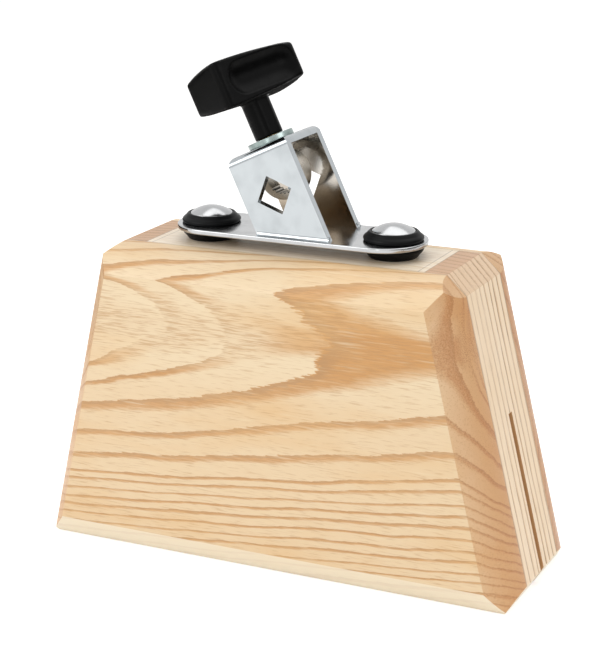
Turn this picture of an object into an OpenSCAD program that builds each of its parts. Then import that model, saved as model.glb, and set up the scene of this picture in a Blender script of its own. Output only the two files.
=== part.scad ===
// Woodblock on a rubber-mounted rod clamp, in millimetres.
// Two boards and a slotted hollow core make the block. A chromed plate floats over it on two
// grommets and carries a leaning bracket, in which a wing nut lifts an eye bolt against a rod.
// Origin at the middle of the base, +X along the block, -Y out of the front face, +Z up.

/* [Block] */
// Height of the wooden block
block_h = 114; // [100:1:140]
// Length of the block at its base
base_len = 190; // [170:1:220]
// Length of the block at its top
top_len = 136; // [128:1:160]
// Thickness of the front board and of the back board
board_t = 18; // [14:0.5:24]
// Thickness of the core between the boards
core_t = 33; // [28:0.5:40]
// How far the rounded edge reaches in over the face of a board
edge_inset = 8.5; // [7.5:0.5:11]
// Plain strip that the rounded edge leaves beside the glue line
edge_land = 1; // [0.5:0.1:2]
// Angle at which the rounded edge meets the plain strip
edge_angle = 3; // [2:0.5:6]
// Depth of the shallower rounding along the base
low_edge_depth = 6; // [4:0.5:6.5]
// Angle at which that rounding meets the base
low_edge_angle = 44; // [30:1:46]
// Length that the bevel takes off each top corner
top_bevel_in = 5.5; // [3:0.5:7]
// Height that the bevel takes off each top corner
top_bevel_down = 6.7; // [4:0.1:8]
// Length that the bevel takes off each bottom corner
low_bevel_in = 5; // [3:0.5:7]
// Height that the bevel takes off each bottom corner
low_bevel_up = 6; // [3:0.5:8]

/* [Core] */
// Width of a stile, measured along the block
stile_w = 13.8; // [10:0.2:16]
// Width of a joint strip, measured along the block
strip_w = 2.4; // [1.6:0.2:4]
// Height of the top rail
top_rail_h = 18; // [16:0.5:24]
// Height of the bottom rail
low_rail_h = 14; // [8:0.5:20]
// Width of the sound kerf that splits the bottom rail and both stiles
kerf_w = 3.2; // [2:0.2:5]
// Height of the kerf's upper end above the base
kerf_h = 62.4; // [40:0.2:70]

/* [Plate and bolts] */
// Distance between the two mounting bolts
bolt_span = 72; // [66:1:80]
// Reach of the plate past each bolt
plate_end = 12; // [11:0.5:14]
// Width of the plate
plate_w = 31; // [28:0.5:33]
// Thickness of the plate
plate_t = 1.8; // [1.2:0.1:3]
// Diameter of the mounting bolts and of the eye bolt's stud
stud_d = 6; // [5:0.5:6.5]
// Diameter of the dome head
head_d = 15.4; // [14:0.2:17]
// Height of the straight rim of the dome head
head_rim = 0.8; // [0.5:0.1:1.5]
// Height of the dome above its rim
head_dome = 2.6; // [1.5:0.1:3.5]

/* [Grommets] */
// Greatest diameter of the rubber
rubber_d = 21.7; // [20:0.1:23]
// Diameter of the rubber where it meets the plate
rubber_root_d = 20.6; // [18:0.1:22]
// Diameter of the rubber's foot on the wood
rubber_foot_d = 17; // [15:0.1:18]
// Diameter of the groove that grips the plate
groove_d = 13; // [11.5:0.1:14]
// Height of the rubber under the plate
rubber_low_h = 4.2; // [3.5:0.1:6]
// Height of the rubber above the plate, up to the seat of the bolt head
rubber_top_h = 2.4; // [2:0.1:4]
// Height of the lip that stands round the bolt head
lip_h = 0.9; // [0.5:0.1:1.2]
// Wall of that lip
lip_t = 0.7; // [0.4:0.1:1.2]

/* [Inner fittings] */
// Outside diameter of a spacer sleeve
sleeve_d = 8; // [7.6:0.1:9]
// Outside diameter of a threaded insert
insert_d = 9; // [8.4:0.1:11]
// Length of a threaded insert
insert_len = 14; // [10:0.5:14.5]
// Outside diameter of the metal insert inside the handle
grip_insert_d = 8; // [7.6:0.1:8.4]

/* [Clamp bracket] */
// Place of the clamp's axis on the plate, along the block
clamp_x = 3.4; // [-2:0.1:8]
// Lean of the clamp towards the left
clamp_lean = 25; // [15:1:30]
// Height of the bracket along its leaning axis
bracket_h = 34; // [33:0.5:42]
// Width of the bracket's plate
bracket_w = 25.2; // [22:0.2:30]
// Thickness of the bracket's plate
sheet_t = 3; // [2:0.1:4]
// Clear width between the bracket's legs
leg_gap = 21; // [16:0.5:22]
// Radius of the bracket's upper corners
corner_r = 2.5; // [1.5:0.1:3]
// Side of the diamond hole for the rod
rod_hole = 10.3; // [8:0.1:12]
// Distance of the diamond hole's centre below the top of the bracket
rod_hole_drop = 17.5; // [16:0.1:19]
// Height of the weld along each foot
weld_h = 1.6; // [1:0.1:3]
// Width of the weld on the plate
weld_w = 1.2; // [0.8:0.1:2]

/* [Eye bolt] */
// Outside diameter of the eye
eye_d = 17.6; // [15:0.1:18]
// Bore of the eye
eye_bore_d = 12.4; // [10:0.1:13]
// Width of the eye
eye_w = 6.4; // [6.2:0.1:8]
// Number of grooves in the lower inside of the eye
tooth_count = 9; // [5:2:11]
// Angle between two grooves
tooth_step = 14; // [10:1:16]
// Flat left between two grooves
tooth_land = 0.2; // [0.1:0.05:0.4]

/* [Washer and neck] */
// Diameter of the washer
washer_d = 17; // [14:0.5:22]
// Thickness of the washer
washer_t = 2; // [1:0.1:3]
// Diameter of the handle's neck
neck_d = 10.4; // [10:0.1:12]
// Distance across the two flats of the neck
neck_flat = 9.5; // [9.2:0.1:9.8]
// Height of the neck
neck_h = 13.8; // [10:0.2:20]

/* [Handle] */
// Length of the handle
handle_len = 36; // [30:0.5:44]
// Width of the handle
handle_w = 22; // [18:0.5:26]
// Height of the handle along its ridge
handle_h = 16.8; // [15:0.2:20]
// Turn of the handle about the clamp's axis
handle_turn = 63; // [0:1:90]
// Radius of the handle's upright corners
handle_corner_r = 2.5; // [1:0.5:4]
// Fall of the top from the ridge to the two low corners
top_fall = 3; // [1:0.2:4]
// Rise of the underside at the two low corners
low_rise = 2; // [1:0.2:3]
// Radius of the finger scoop in each long side
scoop_r = 8.5; // [8:0.5:12]
// Depth of the scoop
scoop_depth = 2.8; // [1:0.1:3]
// Length of the scoop
scoop_len = 30; // [24:0.5:31]
// Shift of the scoop towards the low corner
scoop_shift = 1; // [0:0.1:1.5]

/* [Fits] */
// Gap all round between the bolt head and the rubber's lip
lip_gap = 0.15; // [0.1:0.05:0.3]
// Radial running clearance of a thread
thread_gap = 0.05; // [0.02:0.01:0.08]
// Radial clearance of a bolt in a sleeve or a washer
bolt_gap = 0.2; // [0.1:0.05:0.4]
// Radial clearance of the stud in the bracket
stud_gap = 0.3; // [0.3:0.05:0.5]
// Gap between the washer and the turning neck
neck_gap = 0.15; // [0.1:0.05:0.3]
// Gap between the raised eye and the underside of the bracket's top
eye_gap = 0.3; // [0.3:0.1:0.8]
// Gap past the end of a screw in its thread
end_gap = 1; // [0.5:0.1:1.5]

/* [Hidden] */
$fn = 96;
// Points of the curve on the side of a grommet
bulge_steps = 8;
// Steps of the round end of a finger scoop
scoop_steps = 8;
// How far a cutter runs past the face that it cuts
overrun = 1;

half_base = base_len / 2;
half_top = top_len / 2;
half_block_t = core_t / 2 + board_t;
side_slope = atan2(half_base - half_top, block_h);
cutter_len = 2 * base_len;

bolt_x = bolt_span / 2;
plate_low_z = block_h + rubber_low_h;
plate_top_z = plate_low_z + plate_t;
head_seat_z = plate_top_z + rubber_top_h;
bolt_end_z = block_h - insert_len + end_gap;
dome_r = (head_d * head_d / 4 + head_dome * head_dome) / (2 * head_dome);

foot_len = bracket_w / cos(clamp_lean);
leg_out = leg_gap + 2 * sheet_t;
leg_below = bracket_w * tan(clamp_lean);
rod_hole_z = bracket_h - rod_hole_drop;
eye_z = bracket_h - sheet_t - eye_gap - eye_d / 2;
tooth_side = (eye_bore_d * sin(tooth_step / 2) - tooth_land) / sqrt(2);

neck_z = bracket_h + washer_t + neck_gap;
handle_z = neck_z + neck_h;
handle_top_z = handle_z + handle_h;
grip_roof = grip_insert_d / 2;
grip_end_z = handle_top_z - grip_roof;
stud_end_z = grip_end_z - grip_insert_d / 4 - end_gap;

// Length of the handle's diagonal, and how far the low corners lie from it
handle_diagonal = norm([handle_len, handle_w]);
low_corner_reach = handle_len * handle_w / handle_diagonal;
ridge_turn = atan2(handle_w, handle_len);
top_crown_r = crown_radius(top_fall);
low_crown_r = crown_radius(low_rise);
scoop_reach = sqrt(scoop_r * scoop_r - pow(scoop_r - scoop_depth, 2));

ASH = "#dcc29a";
ASH_PALE = "#e9d8b8";
ASH_END = "#c9a877";
CHROME = "#d5d8da";
ZINC = "#b9c6c2";
STEEL = "#a9adb0";
BRASS = "#c8a857";
RUBBER = "#1c1d1e";
PLASTIC = "#151617";

// Radius of the cylinder that falls by the given amount at the handle's low corners
function crown_radius(fall) = (low_corner_reach * low_corner_reach + fall * fall) / (2 * fall);

// Half length of the block at a height
function side_x(z) = half_base - (half_base - half_top) * z / block_h;

// Outline of the block in the XZ plane, with its four corners bevelled
module block_outline() {
    low_z = low_bevel_up;
    high_z = block_h - top_bevel_down;
    polygon([[-(half_base - low_bevel_in), 0], [half_base - low_bevel_in, 0],
             [side_x(low_z), low_z], [side_x(high_z), high_z],
             [half_top - top_bevel_in, block_h], [-(half_top - top_bevel_in), block_h],
             [-side_x(high_z), high_z], [-side_x(low_z), low_z]]);
}

// Stands an XZ outline up as a slab from the plane y = front, running back by depth
module slab(front, depth) {
    translate([0, front + depth, 0]) rotate([90, 0, 0]) linear_extrude(depth) children();
}

// Radius of the rounding that starts edge_inset in over the face and meets the side of the
// board at the given depth and angle
function edge_radius(depth, angle) =
    (edge_inset * edge_inset + depth * depth) / (2 * (edge_inset * cos(angle) - depth * sin(angle)));

// Cutter for one rounded edge. Its X points out of the side that the edge belongs to,
// its Y points back from the face, and it runs along Z.
module edge_cutter(depth, angle) {
    radius = edge_radius(depth, angle);
    linear_extrude(cutter_len, center = true)
        difference() {
            translate([-edge_inset - overrun, -overrun])
                square([edge_inset + 2 * overrun, depth + overrun]);
            translate([-radius * cos(angle), depth + radius * sin(angle)])
                circle(r = radius);
        }
}

// Front board, with its four front edges rounded
module board() {
    deep = board_t - edge_land;
    difference() {
        slab(-half_block_t, board_t) block_outline();
        translate([0, -half_block_t, block_h]) rotate([0, -90, 0]) edge_cutter(deep, edge_angle);
        translate([0, -half_block_t, 0]) rotate([0, 90, 0]) edge_cutter(low_edge_depth, low_edge_angle);
        translate([half_base, -half_block_t, 0])
            rotate([0, -side_slope, 0]) edge_cutter(deep, edge_angle);
        translate([-half_base, -half_block_t, 0])
            rotate([0, side_slope - 180, 0]) edge_cutter(deep, edge_angle);
    }
}

module front_board() {
    color(ASH) board();
}

module back_board() {
    color(ASH) mirror([0, 1, 0]) board();
}

// Outline between two lines parallel to the right side of the block.
// The lines lie in from the side by near and far, and the piece runs from z0 to z1.
module side_band(near, far, z0, z1) {
    polygon([[side_x(z0) - far, z0], [side_x(z0) - near, z0],
             [side_x(z1) - near, z1], [side_x(z1) - far, z1]]);
}

// Outline of a rail, whose ends follow the sides at the given distance
module rail_outline(inset, z0, z1) {
    polygon([[-(side_x(z0) - inset), z0], [side_x(z0) - inset, z0],
             [side_x(z1) - inset, z1], [-(side_x(z1) - inset), z1]]);
}

module top_rail() {
    color(ASH_PALE)
        difference() {
            slab(-core_t / 2, core_t) rail_outline(stile_w + strip_w, block_h - top_rail_h, block_h);
            for (side = [-1, 1])
                translate([side * bolt_x, 0, block_h - insert_len])
                    cylinder(d = insert_d, h = insert_len + overrun);
        }
}

// Right stile: the slanted end of the core, forked by the kerf
module stile() {
    difference() {
        slab(-core_t / 2, core_t)
            intersection() {
                block_outline();
                side_band(0, stile_w, 0, block_h);
            }
        translate([half_top - stile_w, -kerf_w / 2, -overrun])
            cube([half_base - half_top + stile_w, kerf_w, kerf_h + overrun]);
    }
}

module left_stile() {
    color(ASH_END) mirror([1, 0, 0]) stile();
}

module right_stile() {
    color(ASH_END) stile();
}

module joint_strip() {
    slab(-core_t / 2, core_t) side_band(stile_w, stile_w + strip_w, block_h - top_rail_h, block_h);
}

module left_joint_strip() {
    color(ASH_PALE) mirror([1, 0, 0]) joint_strip();
}

module right_joint_strip() {
    color(ASH_PALE) joint_strip();
}

// Half of the bottom rail that lies in front of the kerf
module half_rail() {
    slab(-core_t / 2, (core_t - kerf_w) / 2) rail_outline(stile_w, 0, low_rail_h);
}

module bottom_rail_front() {
    color(ASH) half_rail();
}

module bottom_rail_back() {
    color(ASH) mirror([0, 1, 0]) half_rail();
}

module mounting_plate() {
    color(CHROME)
        translate([0, 0, plate_low_z])
            linear_extrude(plate_t)
                difference() {
                    union() {
                        square([bolt_span + 2 * plate_end - plate_w, plate_w], center = true);
                        for (side = [-1, 1])
                            translate([side * (bolt_x + plate_end - plate_w / 2), 0])
                                circle(d = plate_w);
                    }
                    for (side = [-1, 1])
                        translate([side * bolt_x, 0]) circle(d = groove_d);
                }
}

// Side of the rubber from the plate out to its edge, as [radius, height above the plate].
// It swells from root to full diameter, then draws in to the edge.
function bulge(edge_radius, height) =
    [for (i = [0 : bulge_steps])
        let (t = i / bulge_steps, swell = rubber_d / 2 - rubber_root_d / 2,
             draw = rubber_root_d / 2 - edge_radius)
            [rubber_root_d / 2 + swell * sin(180 * min(1, 1.5 * t)) - draw * t * t, height * t]];

// Rubber spool: flange on the wood, groove round the plate, and flange with a lip round the bolt head
module grommet(x) {
    lip_in = head_d / 2 + lip_gap;
    lip_out = lip_in + lip_t;
    top_side = bulge(lip_out, rubber_top_h + lip_h);
    low_side = bulge(rubber_foot_d / 2, rubber_low_h);
    translate([x, 0, 0])
        rotate_extrude()
            polygon(concat(
                [for (p = top_side) [p[0], plate_top_z + p[1]]],
                [[lip_in, head_seat_z + lip_h], [lip_in, head_seat_z], [sleeve_d / 2, head_seat_z],
                 [sleeve_d / 2, block_h]],
                [for (i = [bulge_steps : -1 : 0]) [low_side[i][0], plate_low_z - low_side[i][1]]],
                [[groove_d / 2, plate_low_z], [groove_d / 2, plate_top_z]]));
}

module left_grommet() {
    color(RUBBER) grommet(-bolt_x);
}

module right_grommet() {
    color(RUBBER) grommet(bolt_x);
}

// Bolt with a low dome head
module mount_bolt(x) {
    translate([x, 0, 0]) {
        translate([0, 0, bolt_end_z]) cylinder(d = stud_d, h = head_seat_z + head_rim / 2 - bolt_end_z);
        translate([0, 0, head_seat_z])
            intersection() {
                cylinder(d = head_d, h = head_rim + head_dome + overrun);
                translate([0, 0, head_rim + head_dome - dome_r]) sphere(r = dome_r);
            }
    }
}

module left_mount_bolt() {
    color(CHROME) mount_bolt(-bolt_x);
}

module right_mount_bolt() {
    color(CHROME) mount_bolt(bolt_x);
}

// Round tube standing on z, at a place along the block
module tube(x, z, outer_d, bore_d, height) {
    translate([x, 0, z])
        difference() {
            cylinder(d = outer_d, h = height);
            translate([0, 0, -overrun]) cylinder(d = bore_d, h = height + 2 * overrun);
        }
}

module left_spacer_sleeve() {
    color(STEEL) tube(-bolt_x, block_h, sleeve_d, stud_d + 2 * bolt_gap, head_seat_z - block_h);
}

module right_spacer_sleeve() {
    color(STEEL) tube(bolt_x, block_h, sleeve_d, stud_d + 2 * bolt_gap, head_seat_z - block_h);
}

module left_threaded_insert() {
    color(BRASS) tube(-bolt_x, block_h - insert_len, insert_d, stud_d + 2 * thread_gap, insert_len);
}

module right_threaded_insert() {
    color(BRASS) tube(bolt_x, block_h - insert_len, insert_d, stud_d + 2 * thread_gap, insert_len);
}

// Frame of the clamp: origin where its axis meets the plate, +Z up along the eye bolt
module in_clamp() {
    translate([clamp_x, 0, plate_top_z]) rotate([0, -clamp_lean, 0]) children();
}

// Extrudes an outline of the YZ plane along X, evenly to both sides
module along_x(length) {
    rotate([90, 0, 90]) linear_extrude(length, center = true) children();
}

// Outline whose two upper corners are round, from z0 up to z1
module round_top(width, z0, z1, radius) {
    translate([-width / 2, z0]) square([width, z1 - radius - z0]);
    translate([radius - width / 2, z0]) square([width - 2 * radius, z1 - z0]);
    for (side = [-1, 1])
        translate([side * (width / 2 - radius), z1 - radius]) circle(r = radius);
}

// Arch of bent plate, seen along its width, with the corners of the strip rounded
module bracket_arch() {
    intersection() {
        along_x(bracket_w)
            difference() {
                round_top(leg_out, -leg_below, bracket_h, sheet_t);
                translate([-leg_gap / 2, -leg_below - overrun])
                    square([leg_gap, bracket_h - sheet_t + leg_below + overrun]);
            }
        rotate([90, 0, 0])
            linear_extrude(leg_out + 2 * overrun, center = true)
                round_top(bracket_w, -leg_below - overrun, bracket_h, corner_r);
    }
}

// Weld along the outside of the front leg, hollow towards the corner
module weld() {
    translate([clamp_x, 0, plate_top_z])
        along_x(foot_len)
            difference() {
                translate([-leg_out / 2 - weld_w, 0]) square([weld_w + sheet_t / 2, weld_h]);
                translate([-leg_out / 2 - weld_w, weld_h]) scale([weld_w / weld_h, 1]) circle(r = weld_h);
            }
}

module clamp_bracket() {
    color(CHROME) {
        difference() {
            in_clamp()
                difference() {
                    bracket_arch();
                    translate([0, 0, rod_hole_z])
                        rotate([0, 45, 0])
                            cube([rod_hole, leg_out + 2 * overrun, rod_hole], center = true);
                    translate([0, 0, bracket_h - sheet_t - overrun])
                        cylinder(d = stud_d + 2 * stud_gap, h = sheet_t + 2 * overrun);
                }
            translate([clamp_x - 2 * bracket_w, -leg_out, plate_top_z - 2 * leg_below])
                cube([4 * bracket_w, 2 * leg_out, 2 * leg_below]);
        }
        weld();
        mirror([0, 1, 0]) weld();
    }
}

// Eye with a toothed lower inside, and the stud that stands on it
module eye_bolt() {
    color(STEEL)
        in_clamp() {
            translate([0, 0, eye_z])
                difference() {
                    rotate([90, 0, 0]) cylinder(d = eye_d, h = eye_w, center = true);
                    rotate([90, 0, 0]) cylinder(d = eye_bore_d, h = eye_w + 2 * overrun, center = true);
                    for (i = [0 : tooth_count - 1])
                        rotate([0, 90 + (i - (tooth_count - 1) / 2) * tooth_step, 0])
                            translate([eye_bore_d / 2, 0, 0])
                                rotate([0, 45, 0])
                                    cube([tooth_side, eye_w + 2 * overrun, tooth_side], center = true);
                }
            stud_root_z = eye_z + (eye_d + eye_bore_d) / 4;
            translate([0, 0, stud_root_z]) cylinder(d = stud_d, h = stud_end_z - stud_root_z);
        }
}

module clamp_washer() {
    color(ZINC)
        in_clamp() tube(0, bracket_h, washer_d, stud_d + 2 * bolt_gap, washer_t);
}

// Handle seen from above, centred, with round upright corners
module handle_plan() {
    square([handle_len - 2 * handle_corner_r, handle_w], center = true);
    square([handle_len, handle_w - 2 * handle_corner_r], center = true);
    for (x = [-1, 1], y = [-1, 1])
        translate([x * (handle_len / 2 - handle_corner_r), y * (handle_w / 2 - handle_corner_r)])
            circle(r = handle_corner_r);
}

// Cylinder that lies along the handle's ridge, at the given height of its axis
module crown(z, radius) {
    translate([0, 0, z])
        rotate([0, 0, ridge_turn])
            rotate([0, 90, 0]) cylinder(r = radius, h = 2 * handle_len, center = true, $fn = 192);
}

// Half of a bar with round ends, seen from the side, to be turned about its Y axis
module round_bar_outline(radius, half) {
    quarter = [for (i = [0 : scoop_steps]) 90 * i / scoop_steps];
    polygon(concat([[0, -half - radius]],
                   [for (a = quarter) [radius * sin(a), -half - radius * cos(a)]],
                   [for (a = quarter) [radius * cos(a), half + radius * sin(a)]]));
}

// Finger scoop in the side that faces -Y: a bar with round ends
module scoop() {
    half = scoop_len / 2 - scoop_reach;
    translate([scoop_shift, scoop_depth - scoop_r - handle_w / 2, handle_z + handle_h / 2])
        rotate([0, 90, 0]) rotate_extrude() round_bar_outline(scoop_r, half);
}

module wing_handle() {
    color(PLASTIC)
        in_clamp()
            rotate([0, 0, handle_turn])
                difference() {
                    union() {
                        intersection() {
                            translate([0, 0, handle_z]) linear_extrude(handle_h) handle_plan();
                            crown(handle_top_z - top_crown_r, top_crown_r);
                            crown(handle_z + low_crown_r, low_crown_r);
                        }
                        intersection() {
                            translate([0, 0, neck_z]) cylinder(d = neck_d, h = neck_h + handle_h / 2);
                            translate([-neck_d, -neck_flat / 2, neck_z])
                                cube([2 * neck_d, neck_flat, neck_h + handle_h]);
                        }
                    }
                    scoop();
                    rotate([0, 0, 180]) scoop();
                    translate([0, 0, neck_z - overrun])
                        cylinder(d = grip_insert_d, h = grip_end_z - neck_z + overrun);
                }
}

// Metal thread moulded into the handle, closed at its upper end
module handle_insert() {
    color(BRASS)
        in_clamp()
            difference() {
                translate([0, 0, neck_z]) cylinder(d = grip_insert_d, h = grip_end_z - neck_z);
                translate([0, 0, neck_z - overrun])
                    cylinder(d = stud_d + 2 * thread_gap, h = stud_end_z + end_gap - neck_z + overrun);
            }
}

front_board();
back_board();
top_rail();
left_stile();
right_stile();
left_joint_strip();
right_joint_strip();
bottom_rail_front();
bottom_rail_back();
mounting_plate();
left_grommet();
right_grommet();
left_mount_bolt();
right_mount_bolt();
left_spacer_sleeve();
right_spacer_sleeve();
left_threaded_insert();
right_threaded_insert();
clamp_bracket();
eye_bolt();
clamp_washer();
wing_handle();
handle_insert();
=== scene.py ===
"""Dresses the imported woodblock: lacquered ash, a chromed clamp, rubber grommets and a moulded wing nut."""

from __future__ import annotations

import logging
import math
from collections.abc import Callable, Iterable
from dataclasses import dataclass, field, replace
from enum import Enum

import bmesh
import bpy
from mathutils import Matrix, Vector


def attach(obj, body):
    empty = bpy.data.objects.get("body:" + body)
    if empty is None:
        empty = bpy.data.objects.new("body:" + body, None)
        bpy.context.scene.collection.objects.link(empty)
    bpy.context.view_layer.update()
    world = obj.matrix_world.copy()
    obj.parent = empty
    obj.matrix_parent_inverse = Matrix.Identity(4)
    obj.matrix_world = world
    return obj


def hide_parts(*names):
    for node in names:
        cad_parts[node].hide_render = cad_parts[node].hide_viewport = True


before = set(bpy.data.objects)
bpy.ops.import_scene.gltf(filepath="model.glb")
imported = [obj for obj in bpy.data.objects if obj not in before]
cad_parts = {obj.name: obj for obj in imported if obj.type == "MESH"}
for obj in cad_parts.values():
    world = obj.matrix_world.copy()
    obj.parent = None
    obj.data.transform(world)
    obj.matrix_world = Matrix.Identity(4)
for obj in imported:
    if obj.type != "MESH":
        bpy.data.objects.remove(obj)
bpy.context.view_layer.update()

LOG = logging.getLogger("woodblock")
MM = 0.001
PICTURE = (601, 651)
# Points closer than this are one point
MERGE = 0.004 * MM
# How far the block's ends lean from upright, in degrees
END_LEAN = 13.3
# Places of the two colours among a colour mix's inputs, and its output and setting for colours
UNDER, OVER = 6, 7
MIXED = {"out": 2, "data_type": "RGBA"}

Socket = bpy.types.NodeSocket
Tree = bpy.types.NodeTree
Size = tuple[float, float, float]
# The two ends of a range, and what a value turns into at each
Band = tuple[float, float, float, float]


def linear(colour: str) -> tuple[float, float, float, float]:
    """Turns a written sRGB colour into the linear light that shaders use.

    Args:
        colour: The colour as "#rrggbb".

    Returns:
        Red, green, blue and an alpha of one.
    """
    shares = [int(colour[i : i + 2], 16) / 255 for i in (1, 3, 5)]
    light = [s / 12.92 if s <= 0.04045 else ((s + 0.055) / 1.055) ** 2.4 for s in shares]
    return (light[0], light[1], light[2], 1.0)


def add(tree: Tree, kind: str, *values: object, out: int | str = 0,
        pins: dict[int | str, object] | None = None, stops: Iterable[tuple[float, str]] = (),
        **settings: object) -> Socket | None:
    """Adds a shader node with its settings, values and links.

    Args:
        tree: The tree that the node joins.
        kind: The node's type name without its "ShaderNode" prefix.
        *values: Its inputs in order. A socket is linked, and "#rrggbb" is turned to linear light.
        out: Name or place of the output to return.
        pins: Inputs by name or place.
        stops: For a colour ramp, its (place, colour) stops in order.
        **settings: Properties of the node itself.

    Returns:
        The chosen output of the new node, or None where it has no output.
    """
    made = tree.nodes.new("ShaderNode" + kind)
    for name, setting in settings.items():
        setattr(made, name, setting)
    for key, value in (dict(enumerate(values)) | (pins or {})).items():
        if isinstance(value, Socket):
            tree.links.new(value, made.inputs[key])
        else:
            made.inputs[key].default_value = linear(value) if isinstance(value, str) else value
    for i, (place, colour) in enumerate(stops):
        ramp = made.color_ramp.elements
        stop = ramp[i] if i < 2 else ramp.new(place)
        stop.position = place
        stop.color = linear(colour)
    return made.outputs[out] if made.outputs else None


def empty_tree(owner: bpy.types.Material | bpy.types.World) -> Tree:
    """Gives a material or a world an empty node tree.

    Args:
        owner: The material or world.

    Returns:
        Its tree.
    """
    owner.use_nodes = True
    owner.node_tree.nodes.clear()
    return owner.node_tree


def millimetres(tree: Tree) -> Socket:
    """Reads the place on the object, in millimetres along the CAD model's axes."""
    metres = add(tree, "TexCoord", out="Object")
    return add(tree, "VectorMath", metres, (1 / MM,) * 3, operation="MULTIPLY")


def mesh_from(bm: bmesh.types.BMesh, name: str) -> bpy.types.Mesh:
    """Turns a bmesh into a mesh.

    Args:
        bm: The bmesh. It is freed.
        name: The mesh's name.

    Returns:
        The mesh.
    """
    mesh = bpy.data.meshes.new(name)
    bm.to_mesh(mesh)
    bm.free()
    return mesh


def placed(data: bpy.types.ID, name: str) -> bpy.types.Object:
    """Puts a mesh, a lamp or a camera into the scene.

    Args:
        data: What the new object shows.
        name: The object's name.

    Returns:
        The object, at the origin.
    """
    made = bpy.data.objects.new(name, data)
    bpy.context.scene.collection.objects.link(made)
    return made


class Grain(Enum):
    """Which way a piece of wood runs, as the turn of its log about the Y axis."""

    LENGTHWISE = 0.0
    UP_THE_LEFT = math.radians(END_LEAN - 90)
    UP_THE_RIGHT = math.radians(-END_LEAN - 90)


@dataclass(frozen=True)
class Joinery:
    """What the joiner leaves on the wood, thin glue lines, with painted shade on the kerf's walls and
    painted light from the floor on the base.

    Attributes:
        glue_y: Half the thickness of the core, where the boards are glued on, in millimetres.
        joint_x: Half the lengths between the core's slanted joints, at the base, in millimetres.
        side_slope: How far an end leans in, over the block's height.
        line_half: Half the width of a glue line, in millimetres.
        line_share: How much of the glue's colour a line shows.
        kerf_half: Half the kerf's width with a little to spare, in millimetres.
        sideways: Least share of Y in the direction that a kerf's wall faces.
        downward: Band from the share of Z in a face's direction to how much painted light from the floor
            pales it.
        glue: Colour of a glue line.
        painted_kerf_shade: Colour of the painted shade on the kerf's walls.
        painted_floor_light: Colour of the painted light from the floor on faces that look down.
    """

    glue_y: float = 16.5
    joint_x: tuple[float, float] = (81.2, 78.8)
    side_slope: float = 27 / 114
    line_half: float = 0.16
    line_share: float = 0.7
    kerf_half: float = 1.75
    sideways: float = 0.7
    downward: Band = (-0.1, -0.35, 0.0, 0.75)
    glue: str = "#a08c76"
    painted_kerf_shade: str = "#dcae7c"
    painted_floor_light: str = "#fff4dc"

    def mark(self, tree: Tree, place: Socket, colour: Socket) -> Socket:
        """Draws the joints over a wood's colour, with painted shade in the kerf and painted light on the
        base.

        Args:
            tree: The material's tree.
            place: The place on the object, in millimetres.
            colour: The wood's colour.

        Returns:
            The colour with its marks.
        """
        parts = add(tree, "SeparateXYZ", add(tree, "VectorMath", place, operation="ABSOLUTE")).node.outputs
        along = add(tree, "Math", parts["Z"], self.side_slope, parts["X"], operation="MULTIPLY_ADD")
        line = add(tree, "Math", parts["Y"], self.glue_y, self.line_half, operation="COMPARE")
        core = add(tree, "Math", parts["Y"], self.glue_y, operation="LESS_THAN")
        for joint in self.joint_x:
            seam = add(tree, "Math", along, joint, self.line_half, operation="COMPARE")
            seam = add(tree, "Math", seam, core, operation="MULTIPLY")
            line = add(tree, "Math", line, seam, operation="MAXIMUM")
        line = add(tree, "Math", line, self.line_share, operation="MULTIPLY")
        facing = add(tree, "SeparateXYZ", add(tree, "TexCoord", out="Normal")).node.outputs
        # Painted shade on the kerf's walls, the faces near the middle that look sideways
        wall = add(tree, "Math", facing["Y"], operation="ABSOLUTE")
        wall = add(tree, "Math", wall, self.sideways, operation="GREATER_THAN")
        kerf = add(tree, "Math", parts["Y"], self.kerf_half, operation="LESS_THAN")
        wall = add(tree, "Math", kerf, wall, operation="MULTIPLY")
        # Painted light from the floor pales the faces that look down
        base = add(tree, "MapRange", facing["Z"], *self.downward)
        for share, mark in ((line, self.glue), (wall, self.painted_kerf_shade), (base, self.painted_floor_light)):
            colour = add(tree, "Mix", share, pins={UNDER: colour, OVER: mark}, **MIXED)
        return colour


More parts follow.
